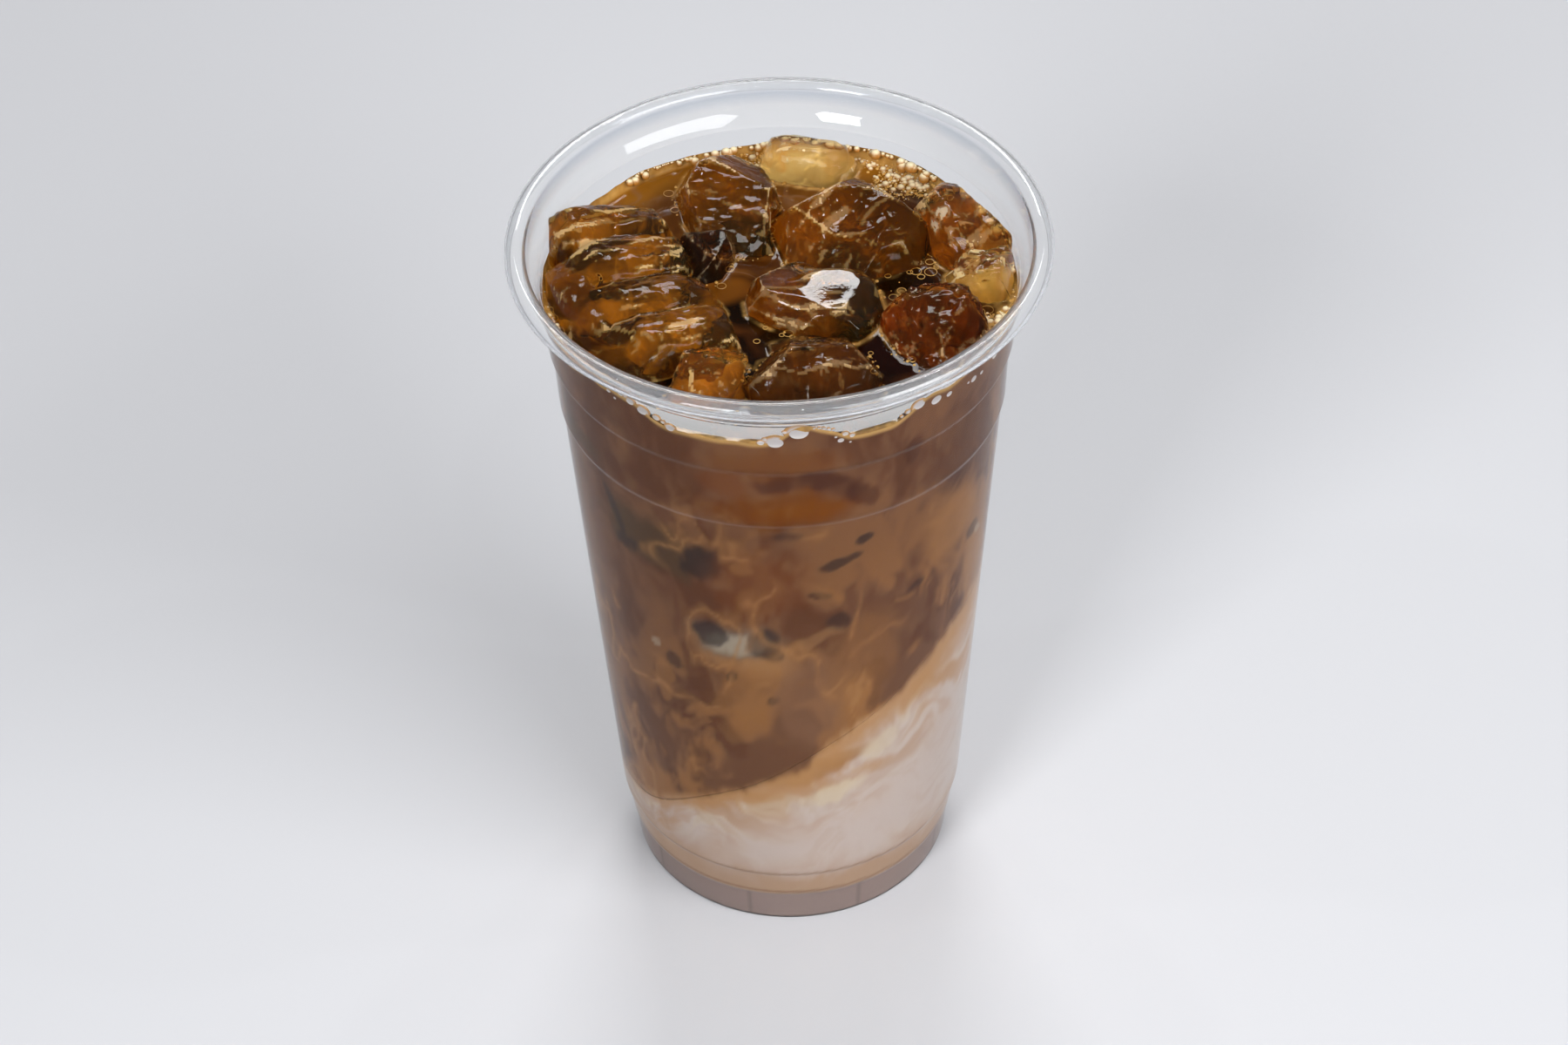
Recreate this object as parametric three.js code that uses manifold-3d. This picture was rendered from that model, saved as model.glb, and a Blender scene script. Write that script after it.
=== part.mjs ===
// Iced milk coffee in a clear thermoformed cup: the cup, a layer of condensed milk, the coffee above it
// and the pieces of ice that break the surface. Millimetres, +Z up, origin at the centre of the foot.
import * as THREE from "three";
import { mergeVertices } from "three/addons/utils/BufferGeometryUtils.js";
import Module from "manifold-3d";

const wasm = await Module();
wasm.setup();

// Driving dimensions of the cup. Wall radii are to the middle of the sheet.
const cupHeight = 148;
const rimRadius = 49;
const sheet = 0.5;
const curlRadius = 1.65;
const curlEnd = -120;
const flareFoot = { radius: 42.25, height: 128 };
const band = { lowRadius: 40.97, lowHeight: 115.5, highRadius: 41.48, highHeight: 124 };
const body = { lowRadius: 33.85, lowHeight: 15.8, highRadius: 40.38, highHeight: 112 };
const skirt = { lowRadius: 31.4, lowHeight: 1, highRadius: 32.15, highHeight: 8.3 };
const footRing = { inner: 29.5, outer: 30.9, wallRadius: 28.9, wallTop: 5.4 };
const floorPlate = { radius: 27.6, height: 6.5 };
const ribs = { count: 9, width: 0.8, height: 6, proud: 0.3, firstAngle: -106 };
const sides = 40;
const curlFacets = 10;

// Driving dimensions of what fills it.
const gap = 0.3;
const layerCells = 12;
const drinkLevel = 136.5;
const milk = { height: 48, slope: 0.75, ripple: 1.5, rippleLength: 6.5 };
const froth = { seed: 11, count: 15, smallest: 1.1, largest: 2.1, sunk: 0.35 };

// The ice, in the order it is packed: a later piece is hollowed where it leans on an earlier one.
// at: middle of the piece in plan. top: height of its highest face. size: along its own axes.
// turn: degrees about X, Y, Z. edge: how square it is, 2 being round. dip: hollow of the top face.
const ice = [
  { name: "broad", at: [13, 15], top: 142.4, size: [27, 26, 20], turn: [4, -5, 24], edge: 4.2, dip: 1.6 },
  { name: "rear_left", at: [-9, 24], top: 142.6, size: [17, 28, 21], turn: [6, 7, 16], edge: 4.5, dip: 1.8 },
  { name: "middle", at: [6.5, -5.5], top: 140.8, size: [25, 19, 18], turn: [-5, 8, -28], edge: 3.4 },
  { name: "rear_right", at: [33, 13.5], top: 142.1, size: [14, 21, 20], turn: [-4, 9, 28], edge: 5.5 },
  { name: "right_front", at: [27, -13.5], top: 141.7, size: [16, 20, 21], turn: [10, 6, 22], edge: 5.5 },
  { name: "front", at: [5.5, -26.8], top: 142, size: [23, 16, 20], turn: [8, -6, 12], edge: 4.6, dip: 0.6 },
  { name: "right", at: [38, -0.5], top: 141.9, size: [15, 11, 15], turn: [4, -14, -8], edge: 3.8 },
  { name: "front_left", at: [-12.5, -27.5], top: 142.2, size: [15, 14.5, 18], turn: [6, 4, -14], edge: 4.8 },
  { name: "rear", at: [5.5, 36.5], top: 140.2, size: [17, 11, 15], turn: [-10, 4, -18], edge: 4, dip: 0.5 },
  { name: "small", at: [-14, 10], top: 141.6, size: [10.5, 14, 15], turn: [8, -10, 30], edge: 4.6 },
  { name: "low", at: [3, -17.5], top: 138.8, size: [15, 11, 12], turn: [5, -7, 10], edge: 3.6 },
  { name: "chip", at: [20.5, -4.5], top: 139.4, size: [9, 8, 9], turn: [12, 8, 40], edge: 3.4 },
];
// A run of slabs frozen side by side, with an end lump against the wall, forms one ribbed block.
const ribbedIce = {
  name: "ribbed",
  slabs: 4,
  slab: { top: 142.2, size: [23, 12.4, 19], turn: [-7, 4, 19], edge: 4 },
  first: [-31.5, 12.5],
  last: [-19.5, -17.5],
  end: { at: [-35, -8], top: 140.6, size: [8, 30, 16], turn: [0, 0, 20], edge: 3.4 },
};
const iceFacets = { large: 4, small: 3, largeFrom: 16 };
const iceWobble = 0.022;
const iceSeed = 31;
const ribbedSeed = 71;

// A repeatable stream of numbers from 0 to 1.
function randomFrom(seed) {
  let state = seed;
  return () => {
    state = (state * 16807) % 2147483647;
    return state / 2147483647;
  };
}

// A closed three.js geometry as a solid that can be joined and cut.
function toSolid(geometry) {
  const bare = geometry.clone();
  bare.deleteAttribute("normal");
  bare.deleteAttribute("uv");
  const merged = mergeVertices(bare, 1e-4);
  const corners = merged.index.array;
  const kept = [];
  for (let i = 0; i < corners.length; i += 3) {
    const [a, b, c] = corners.slice(i, i + 3);
    if (a !== b && b !== c && c !== a) kept.push(a, b, c);
  }
  return new wasm.Manifold(
    new wasm.Mesh({
      numProp: 3,
      vertProperties: merged.attributes.position.array,
      triVerts: new Uint32Array(kept),
    }),
  );
}

// The largest body of a solid, as a geometry: crumbs that a cut leaves loose are dropped.
function toGeometry(solid) {
  const bodies = solid.decompose().sort((a, b) => b.volume() - a.volume());
  const mesh = bodies[0].getMesh();
  const geometry = new THREE.BufferGeometry();
  geometry.setAttribute("position", new THREE.BufferAttribute(mesh.vertProperties, 3));
  geometry.setIndex(new THREE.BufferAttribute(mesh.triVerts, 1));
  const flat = geometry.toNonIndexed();
  flat.computeVertexNormals();
  return flat;
}

// The middle line of the formed sheet, from the centre of the floor to the end of the rim's curl.
function sheetLine() {
  const curlMiddle = rimRadius - sheet / 2 - curlRadius;
  const curlHeight = cupHeight - sheet / 2 - curlRadius;
  const points = [
    [0, floorPlate.height],
    [floorPlate.radius, floorPlate.height],
    [footRing.wallRadius, footRing.wallTop],
    [footRing.wallRadius, skirt.lowHeight],
    [footRing.inner, sheet / 2],
    [footRing.outer, sheet / 2],
    [skirt.lowRadius, skirt.lowHeight],
    [skirt.highRadius, skirt.highHeight],
    [body.lowRadius, body.lowHeight],
    [body.highRadius, body.highHeight],
    [band.lowRadius, band.lowHeight],
    [band.highRadius, band.highHeight],
    [flareFoot.radius, flareFoot.height],
  ];
  for (let i = 0; i <= curlFacets; i++) {
    const angle = THREE.MathUtils.degToRad(THREE.MathUtils.lerp(180, curlEnd, i / curlFacets));
    points.push([curlMiddle + curlRadius * Math.cos(angle), curlHeight + curlRadius * Math.sin(angle)]);
  }
  return points.map(([radius, height]) => new THREE.Vector2(radius, height));
}

// The line moved sideways: a positive distance is towards the inside of the cup.
function offsetLine(line, distance) {
  const headings = line.slice(1).map((point, i) => point.clone().sub(line[i]).normalize());
  return line.map((point, i) => {
    const arriving = headings[Math.max(i - 1, 0)];
    const leaving = headings[Math.min(i, headings.length - 1)];
    const normal = new THREE.Vector2(-arriving.y - leaving.y, arriving.x + leaving.x).normalize();
    const spread = normal.y * arriving.x - normal.x * arriving.y;
    return point.clone().addScaledVector(normal, distance / spread);
  });
}

// A profile of radii and heights, turned about the vertical axis.
function turned(profile) {
  return new THREE.LatheGeometry(profile, sides).rotateX(Math.PI / 2);
}

// The cup: one sheet, with short upright ribs round its skirt.
function makeCup(line) {
  const inside = offsetLine(line, sheet / 2);
  const outside = offsetLine(line, -sheet / 2);
  let solid = toSolid(turned([...outside, ...inside.reverse()]));
  const lean = Math.atan2(skirt.highRadius - skirt.lowRadius, skirt.highHeight - skirt.lowHeight);
  const middle = (skirt.lowRadius + skirt.highRadius) / 2;
  const height = (skirt.lowHeight + skirt.highHeight) / 2;
  for (let i = 0; i < ribs.count; i++) {
    const rib = new THREE.BoxGeometry(ribs.proud + sheet / 2, ribs.width, ribs.height);
    rib.translate((ribs.proud + sheet / 2) / 2, 0, 0);
    rib.rotateY(lean);
    rib.translate(middle, 0, height);
    rib.rotateZ(THREE.MathUtils.degToRad(ribs.firstAngle + (360 / ribs.count) * i));
    solid = solid.add(toSolid(rib));
  }
  return solid;
}

// The room for the drink: everything inside the sheet up to the given height, a gap away from it.
function roomBelow(line, height) {
  const side = offsetLine(line, sheet / 2 + gap);
  const cut = side.findIndex((p, i) => i > 0 && p.y > height && p.x > floorPlate.radius + 2);
  const share = (height - side[cut - 1].y) / (side[cut].y - side[cut - 1].y);
  const edge = side[cut - 1].clone().lerp(side[cut], share);
  return toSolid(turned([...side.slice(0, cut), edge, new THREE.Vector2(0, height)]));
}

// Where milk turns to coffee: a bank that was poured against the right side, with low ripples.
function layerHeight(x, y) {
  const ripple = Math.sin(x / milk.rippleLength) * Math.cos(y / milk.rippleLength + 0.6);
  return milk.height + milk.slope * x + milk.ripple * ripple;
}

// Everything under the milk's surface when that is moved up by lift.
function underLayer(lift) {
  const width = 2 * rimRadius;
  const block = new THREE.BoxGeometry(width, width, 2, layerCells, layerCells, 1);
  const corners = block.attributes.position;
  for (let i = 0; i < corners.count; i++) {
    const surface = layerHeight(corners.getX(i), corners.getY(i)) + lift;
    corners.setZ(i, corners.getZ(i) < 0 ? -milk.height : surface);
  }
  return toSolid(block);
}

// A melted block of ice with uneven faces, grown all round by the given amount.
function iceBlock({ at: [x, y], top, size, turn, edge, dip = 0 }, seed, grown = 0) {
  const random = randomFrom(seed);
  const waves = Array.from({ length: 5 }, () => ({
    along: new THREE.Vector3(random() - 0.5, random() - 0.5, random() - 0.5).multiplyScalar(9),
    phase: random() * 2 * Math.PI,
  }));
  const facets = Math.max(...size) > iceFacets.largeFrom ? iceFacets.large : iceFacets.small;
  const block = new THREE.BoxGeometry(2, 2, 2, facets, facets, facets);
  const corners = block.attributes.position;
  const point = new THREE.Vector3();
  for (let i = 0; i < corners.count; i++) {
    point.fromBufferAttribute(corners, i);
    const reach = Math.abs(point.x) ** edge + Math.abs(point.y) ** edge + Math.abs(point.z) ** edge;
    point.multiplyScalar(reach ** (-1 / edge));
    const swell = waves.reduce((sum, w) => sum + Math.sin(w.along.dot(point) + w.phase), 0);
    point.multiplyScalar(1 + iceWobble * swell);
    const pit = point.z > 0 ? dip * Math.exp(-4 * (point.x ** 2 + point.y ** 2)) : 0;
    corners.setXYZ(
      i,
      point.x * (size[0] / 2 + grown),
      point.y * (size[1] / 2 + grown),
      point.z * (size[2] / 2 + grown) - pit,
    );
  }
  const angles = turn.map(THREE.MathUtils.degToRad);
  block.applyMatrix4(new THREE.Matrix4().makeRotationFromEuler(new THREE.Euler(...angles)));
  block.translate(x, y, top - size[2] / 2);
  return toSolid(block);
}

// The ribbed block: its slabs, evenly spaced from the first to the last, and the end lump.
function ribbedBlock(grown = 0) {
  const { slabs, slab, first, last, end } = ribbedIce;
  let solid = iceBlock(end, ribbedSeed, grown);
  for (let i = 0; i < slabs; i++) {
    const share = i / (slabs - 1);
    const at = first.map((start, axis) => THREE.MathUtils.lerp(start, last[axis], share));
    solid = solid.add(iceBlock({ ...slab, at }, ribbedSeed + 1 + i, grown));
  }
  return solid;
}

// The ice, each piece kept inside the cup and clear of the pieces packed before it.
function packIce(room) {
  const pieces = [
    { name: ribbedIce.name, shape: (grown) => ribbedBlock(grown) },
    ...ice.map((piece, i) => ({ name: piece.name, shape: (grown) => iceBlock(piece, iceSeed + i, grown) })),
  ];
  let taken = null;
  for (const piece of pieces) {
    const whole = piece.shape(0).intersect(room);
    piece.solid = taken ? whole.subtract(taken) : whole;
    const grown = piece.shape(gap);
    taken = taken ? taken.add(grown) : grown;
  }
  return { pieces, taken };
}

// Froth bubbles round the edge of the coffee, wherever ice leaves room for one.
function addFroth(coffee, taken, edgeRadius) {
  const random = randomFrom(froth.seed);
  let solid = coffee;
  for (let i = 0; i < froth.count; i++) {
    const radius = THREE.MathUtils.lerp(froth.smallest, froth.largest, random() ** 2);
    const angle = ((i + 0.4 * random()) / froth.count) * 2 * Math.PI;
    const reach = edgeRadius - radius - gap;
    const bubble = new THREE.SphereGeometry(radius, 6, 4).rotateX(Math.PI / 2);
    bubble.translate(reach * Math.cos(angle), reach * Math.sin(angle), drinkLevel + radius * froth.sunk);
    const dome = toSolid(bubble);
    if (dome.intersect(taken).volume() < 1e-6) solid = solid.add(dome);
  }
  return solid;
}

const looks = {
  clear: { color: 0xe8edf0, roughness: 0.05, metalness: 0, transparent: true, opacity: 0.3 },
  milk: { color: 0xcbb5a2, roughness: 0.25, metalness: 0 },
  coffee: { color: 0x6b4127, roughness: 0.15, metalness: 0 },
  ice: { color: 0xa8743a, roughness: 0.08, metalness: 0, transparent: true, opacity: 0.75 },
};

const group = new THREE.Group();

function addPiece(name, solid, look) {
  const mesh = new THREE.Mesh(toGeometry(solid), new THREE.MeshStandardMaterial(look));
  mesh.name = name;
  group.add(mesh);
}

const line = sheetLine();
const lift = (gap / 2) * Math.hypot(1, milk.slope);
const drinkRoom = roomBelow(line, drinkLevel);
const { pieces, taken } = packIce(roomBelow(line, cupHeight - 4));
const edgeRadius = drinkRoom.boundingBox().max[0];
const coffee = drinkRoom.subtract(underLayer(lift)).subtract(taken);

addPiece("cup", makeCup(line), looks.clear);
addPiece("milk_layer", drinkRoom.intersect(underLayer(-lift)), looks.milk);
addPiece("coffee", addFroth(coffee, taken, edgeRadius), looks.coffee);
for (const piece of pieces) addPiece(`ice_${piece.name}`, piece.solid, looks.ice);

export default group;
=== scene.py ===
import math
import bmesh
import bpy
import numpy as np
from mathutils import Matrix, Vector
from mathutils.bvhtree import BVHTree


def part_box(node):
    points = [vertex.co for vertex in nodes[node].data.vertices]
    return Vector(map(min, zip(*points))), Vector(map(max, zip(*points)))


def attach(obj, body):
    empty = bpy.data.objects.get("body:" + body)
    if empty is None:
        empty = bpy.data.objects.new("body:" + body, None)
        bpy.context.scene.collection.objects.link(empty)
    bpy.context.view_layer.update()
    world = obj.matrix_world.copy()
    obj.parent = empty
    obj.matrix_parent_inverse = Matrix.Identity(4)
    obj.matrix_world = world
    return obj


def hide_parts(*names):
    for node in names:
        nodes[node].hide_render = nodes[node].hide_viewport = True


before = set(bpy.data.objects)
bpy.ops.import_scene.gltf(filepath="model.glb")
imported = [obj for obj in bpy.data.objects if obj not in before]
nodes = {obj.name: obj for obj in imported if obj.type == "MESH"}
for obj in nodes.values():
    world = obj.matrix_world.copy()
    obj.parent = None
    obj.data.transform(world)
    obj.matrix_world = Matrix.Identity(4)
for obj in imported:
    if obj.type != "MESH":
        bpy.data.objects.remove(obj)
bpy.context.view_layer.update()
mm = 0.001  # sizes below are in millimetres, Blender works in metres


# colour as it looks on a screen, 0 to 255, turned into linear light
def seen(red, green, blue):
    value = np.array([red, green, blue], float) / 255
    return np.where(value <= 0.04045, value / 12.92, ((value + 0.055) / 1.055) ** 2.4)


def smoothStep(low, high, value):
    share = np.clip((value - low) / (high - low), 0, 1)
    return share * share * (3 - 2 * share)


def mix(first, second, share):
    return first + (second - first) * np.asarray(share)[..., None]


# one octave of smooth seeded noise, 0 to 1, on points in mm
def latticeNoise(points, size, seed):
    place = points / size
    cell = np.floor(place).astype(np.int64)
    part = place - cell
    part = part * part * (3 - 2 * part)
    total = np.zeros(len(points))
    for corner in np.ndindex(2, 2, 2):
        key = (cell + corner) @ np.array([374761393, 668265263, 1440662683]) + seed * 974634541
        key = (key ^ (key >> 13)) * 1274126177
        key = (key ^ (key >> 16)) & 0xFFFF
        weight = np.prod(np.where(corner, part, 1 - part), axis=1)
        total += weight * key / 0xFFFF
    return total


def cloudNoise(points, size, seed, octaves=4):
    total = np.zeros(len(points))
    for octave in range(octaves):
        total += latticeNoise(points, size / 2**octave, seed + 17 * octave) / 2**octave
    return total / (2 - 2 ** (1 - octaves))


def addToScene(name, data):
    thing = bpy.data.objects.new(name, data)
    bpy.context.scene.collection.objects.link(thing)
    return thing


def paintMesh(mesh, colours):
    paint = mesh.color_attributes.new("paint", "FLOAT_COLOR", "POINT")
    paint.data.foreach_set("color", np.column_stack([colours, np.ones(len(colours))]).ravel())


def smoothMesh(mesh):
    mesh.polygons.foreach_set("use_smooth", np.ones(len(mesh.polygons), bool))


def makePiece(name, points, faces, replaced, material, colours=None):
    mesh = bpy.data.meshes.new(name)
    mesh.from_pydata((np.asarray(points) * mm).tolist(), [], faces)
    smoothMesh(mesh)
    if colours is not None:
        paintMesh(mesh, colours)
    mesh.update()
    mesh.materials.append(material)
    piece = addToScene(name, mesh)
    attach(piece, "root")
    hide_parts(*replaced)
    return piece


# quads between rows of points that run round the cup, rows x around
def ringFaces(rows, around):
    row, col = np.meshgrid(np.arange(rows - 1), np.arange(around), indexing="ij")
    nextCol = (col + 1) % around
    near = row * around
    far = near + around
    return np.stack([near + col, near + nextCol, far + nextCol, far + col], -1).reshape(-1, 4)


# one shader with a bump of a given grain and height in mm; painted ones take their colour from the mesh
def makeMaterial(name, sockets, grain, height, detail=3.0, painted=True):
    material = bpy.data.materials.new(name)
    material.use_nodes = True
    tree = material.node_tree
    shader = tree.nodes["Principled BSDF"]
    for socket, value in sockets.items():
        shader.inputs[socket].default_value = value
    if painted:
        paint = tree.nodes.new("ShaderNodeVertexColor")
        paint.layer_name = "paint"
        tree.links.new(paint.outputs["Color"], shader.inputs["Base Color"])
    place = tree.nodes.new("ShaderNodeTexCoord")
    noise = tree.nodes.new("ShaderNodeTexNoise")
    noise.inputs["Scale"].default_value = 1 / (grain * mm)
    noise.inputs["Detail"].default_value = detail
    bump = tree.nodes.new("ShaderNodeBump")
    bump.inputs["Strength"].default_value = 1.0
    bump.inputs["Distance"].default_value = height * mm
    tree.links.new(place.outputs["Object"], noise.inputs["Vector"])
    tree.links.new(noise.outputs["Fac"], bump.inputs["Height"])
    tree.links.new(bump.outputs["Normal"], shader.inputs["Normal"])
    if "Coat Weight" in sockets:
        tree.links.new(bump.outputs["Normal"], shader.inputs["Coat Normal"])
    return material


# cup: one clear formed sheet with a rolled rim, radii to the middle of the sheet
cup = {
    "sheet": 0.5,
    "rimRadius": 49,
    "height": 148,
    "curlRadius": 1.65,
    "curlTurn": 230,
    "corners": [  # radius, height, rounding
        (28.25, 6.5, 1.0), (28.9, 5.4, 0.6), (28.9, 0.25, 0.7), (31.35, 0.25, 0.7),
        (32.05, 7.9, 0.4), (32.5, 8.7, 0.5), (33.4, 14.9, 0.4), (33.85, 15.9, 0.6),
        (40.42, 113.7, 0.4), (40.97, 114.8, 0.5), (41.5, 126.9, 0.4), (42.25, 128, 0.5),
        (43.2, 140.2, 2.2), (45.2, 142.75, 0.9),
    ],
    "rising": {"inner": 31.3, "outer": 45.6, "top": 146.2},  # the part of the profile that is outer wall
    "around": 324,
    "rowStep": 6,  # longest row on a straight stretch
    "rimFrom": 139.6,
    "clear": (0.975, 0.982, 0.985),
    "wallIndex": 1.16,  # a weak gloss, so that the drink shows clear through the wall
    "wallClear": 1.0,
    "rimIndex": 1.3,
    "rimClear": 0.93,  # the rolled rim looks milky from the front
    "rimTintAndShadeRows": [  # lowest and highest row, widest radius, what the sheet lets through there; the darker first row is painted shade
        (145.2, 146.5, 45.9, (0.76, 0.8, 0.86)), (144.2, 147.2, 50, (0.93, 0.945, 0.965))],
    "tintFade": 0.2,
    "ribs": {"count": 9, "first": -16, "wide": 1.5, "proud": 0.3, "low": 1.4, "high": 7.2, "fade": 0.6},
}


def cupLine():
    curl = cup["curlRadius"]
    curlMiddle = cup["rimRadius"] - cup["sheet"] / 2 - curl
    curlHeight = cup["height"] - cup["sheet"] / 2 - curl
    corners = [np.array(corner[:2]) for corner in cup["corners"]]
    roundings = [corner[2] for corner in cup["corners"]]
    floorMiddle = np.array([0, cup["corners"][0][1]])
    ends = [floorMiddle, *corners, np.array([curlMiddle - curl, curlHeight])]
    line = [floorMiddle, floorMiddle + [9, 0], floorMiddle + [18, 0]]
    for before, corner, after, rounding in zip(ends, ends[1:], ends[2:], roundings):
        into = corner - rounding * (corner - before) / np.linalg.norm(corner - before)
        out = corner + rounding * (after - corner) / np.linalg.norm(after - corner)
        for share in np.linspace(0, 1, 6):
            line.append((1 - share) ** 2 * into + 2 * share * (1 - share) * corner + share * share * out)
    for angle in np.radians(np.linspace(180, 180 - cup["curlTurn"], 28)):
        line.append([curlMiddle + curl * np.cos(angle), curlHeight + curl * np.sin(angle)])
    dense = [np.array(line[0])]
    for point in line[1:]:  # long straight stretches get rows of their own
        start = dense[-1]
        steps = max(1, int(np.linalg.norm(point - start) / cup["rowStep"]))
        dense += [start + (np.array(point) - start) * (i + 1) / steps for i in range(steps)]
    return np.array(dense)


def besideLine(line, distance):
    heading = np.gradient(line, axis=0)
    heading /= np.linalg.norm(heading, axis=1)[:, None]
    return line + distance * np.column_stack([-heading[:, 1], heading[:, 0]])


cupProfile = cupLine()
isRising = (cupProfile[:, 0] > cup["rising"]["inner"]) & (cupProfile[:, 0] < cup["rising"]["outer"])
risingWall = cupProfile[isRising & (cupProfile[:, 1] < cup["rising"]["top"])]


# middle of the sheet at a height, above the skirt's foot
def wallRadius(height):
    return np.interp(height, risingWall[:, 1], risingWall[:, 0])


def insideRadius(height):
    return wallRadius(height) - cup["sheet"] / 2


def azimuths(around):
    return np.arange(around) * 360 / around - 180


# azimuth is 0 at the front and grows towards the right
def aroundCup(radius, azimuth, height):
    turn = np.radians(azimuth)
    return np.stack([radius * np.sin(turn), -radius * np.cos(turn), height], -1)


def angleOff(azimuth, middle):
    return (azimuth - middle + 180) % 360 - 180


# degrees from the nearest rib of the skirt
def fromRib(azimuth):
    spacing = 360 / cup["ribs"]["count"]
    return np.abs((azimuth - cup["ribs"]["first"] + spacing / 2) % spacing - spacing / 2)


# one stretch of the sheet, both faces, from one row of the profile to another
def makeSheet(name, first, last, closedEnd, material):
    outside = besideLine(cupProfile, -cup["sheet"] / 2)[first:last]
    inside = besideLine(cupProfile, cup["sheet"] / 2)[first:last]
    if first == 0:
        inside[0, 0] = outside[0, 0] = 0.02
    around = cup["around"]
    azimuth = azimuths(around)
    ribs = cup["ribs"]
    across = np.clip(1.6 - fromRib(azimuth) / (ribs["wide"] / 2), 0, 1)
    sides = []
    for profile, isOutside in ((outside, True), (inside, False)):
        onSkirt = smoothStep(ribs["low"], ribs["low"] + ribs["fade"], profile[:, 1])
        onSkirt = onSkirt * smoothStep(ribs["high"], ribs["high"] - ribs["fade"], profile[:, 1])
        onSkirt = onSkirt * isOutside * (profile[:, 0] > 31)
        radius = profile[:, :1] + ribs["proud"] * onSkirt[:, None] * across
        height = np.repeat(profile[:, 1:], around, 1)
        sides.append(aroundCup(radius, azimuth, height).reshape(-1, 3))
    rows = last - first
    quads = ringFaces(rows, around)
    faces = quads.tolist() + (quads[:, ::-1] + rows * around).tolist()
    step = np.arange(around)
    following = (step + 1) % around
    outer = (rows - 1) * around
    inner = (2 * rows - 1) * around
    if closedEnd:
        faces += np.stack([outer + step, outer + following, inner + following, inner + step], -1).tolist()
    if first == 0:
        faces.append(step[::-1].tolist())
        faces.append((rows * around + step).tolist())
    profile = np.vstack([outside, inside])
    tint = np.tile(cup["clear"], (len(profile), 1))
    fade = cup["tintFade"]
    # the darker rim row is painted shade, a dark line along the curl
    for low, high, widest, colour in cup["rimTintAndShadeRows"][::-1]:
        share = smoothStep(low - fade, low + fade, profile[:, 1])
        share = share * smoothStep(high + fade, high - fade, profile[:, 1])
        tint = mix(tint, np.array(colour), share * (profile[:, 0] < widest))
    makePiece(name, np.vstack(sides), faces, ["cup"], material, np.repeat(tint, around, 0))


def clearPlastic(name, index, clear):
    sockets = {"Roughness": 0.02, "IOR": index, "Transmission Weight": clear}
    return makeMaterial(name, sockets, grain=14, height=0.04, detail=1.0)


# wall and rim share one sheet
def makeCup():
    split = int(np.argmax((cupProfile[:, 1] > cup["rimFrom"]) & (cupProfile[:, 0] > 40)))
    wallLook = clearPlastic("clearWall", cup["wallIndex"], cup["wallClear"])
    makeSheet("cupWall", 0, split + 1, False, wallLook)
    rimLook = clearPlastic("clearRim", cup["rimIndex"], cup["rimClear"])
    makeSheet("cupRim", split, len(cupProfile), True, rimLook)
    print("cup made")


# drink: where the layers meet, and the line that the drink draws on the wall
drink = {
    "level": 135.4,
    "intoWall": 0.1,
    "milkHeight": 48,
    "milkSlope": 0.75,
    "layerRadius": 36,  # where the layers meet at the wall
    "ledges": [9.1, 15.3],
    "ripple": 1.5,
    "rippleLength": 6.5,
    "around": 432,
    "groove": [  # radius and height of the milk's underside, down into the skirt
        (0.02, 6.7), (14, 6.7), (27.8, 6.7), (29.0, 5.5), (29.1, 0.5), (31.2, 0.5)],
    "milkRows": 92,
    "sideRows": 140,
    "shoreRows": 12,
    "shore": [  # azimuth, rise above the level, half width in degrees
        (-47, 3.8, 11), (-36, 1.4, 5), (4, 3.9, 5), (11, 1.4, 4), (36, 2.8, 6), (48, 3.2, 9), (64, 2.4, 12),
        (95, 1.6, 24), (150, 2.2, 24), (180, 1.2, 9), (-150, 1.2, 22), (-100, 2.6, 24), (-70, 1.6, 12),
    ],
}


def layerHeight(x, y):
    ripple = np.sin(x / drink["rippleLength"]) * np.cos(y / drink["rippleLength"] + 0.6)
    return drink["milkHeight"] + drink["milkSlope"] * x + drink["ripple"] * ripple


def layerAtWall(azimuth):
    atWall = aroundCup(drink["layerRadius"], azimuth, 0 * azimuth)
    return layerHeight(atWall[:, 0], atWall[:, 1])


def drinkRadius(height):
    return insideRadius(height) + drink["intoWall"]


def shoreHeight(azimuth):
    rise = np.full(len(azimuth), -0.2)
    for middle, high, width in drink["shore"]:
        rise += high * np.exp(-((angleOff(azimuth, middle) / width) ** 2))
    turn = np.radians(azimuth)
    ring = np.column_stack([np.cos(turn), np.sin(turn), 0 * turn]) * 40
    return drink["level"] + rise + 0.9 * (cloudNoise(ring, 4, 3, 2) - 0.5)


# what the drink's side shows: colours as they look through the wall, which veils and dims them
wallView = {"veil": 0.008, "share": 1.1}
drinkColours = {
    "darkBrown": (94, 62, 46), "warmBrown": (112, 78, 58), "rust": (112, 66, 42), "mauve": (130, 96, 74),
    "caramel": (150, 106, 66), "tawny": (178, 134, 90), "amber": (108, 58, 20), "gold": (132, 76, 26),
    "plum": (64, 38, 36), "shade": (54, 46, 46), "olive": (82, 66, 50), "pale": (166, 154, 136),
    "slate": (112, 98, 88), "milk": (196, 181, 172), "tan": (178, 148, 124), "cream": (206, 190, 164),
    "foot": (150, 132, 126), "edge": (192, 152, 96),
}
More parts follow.
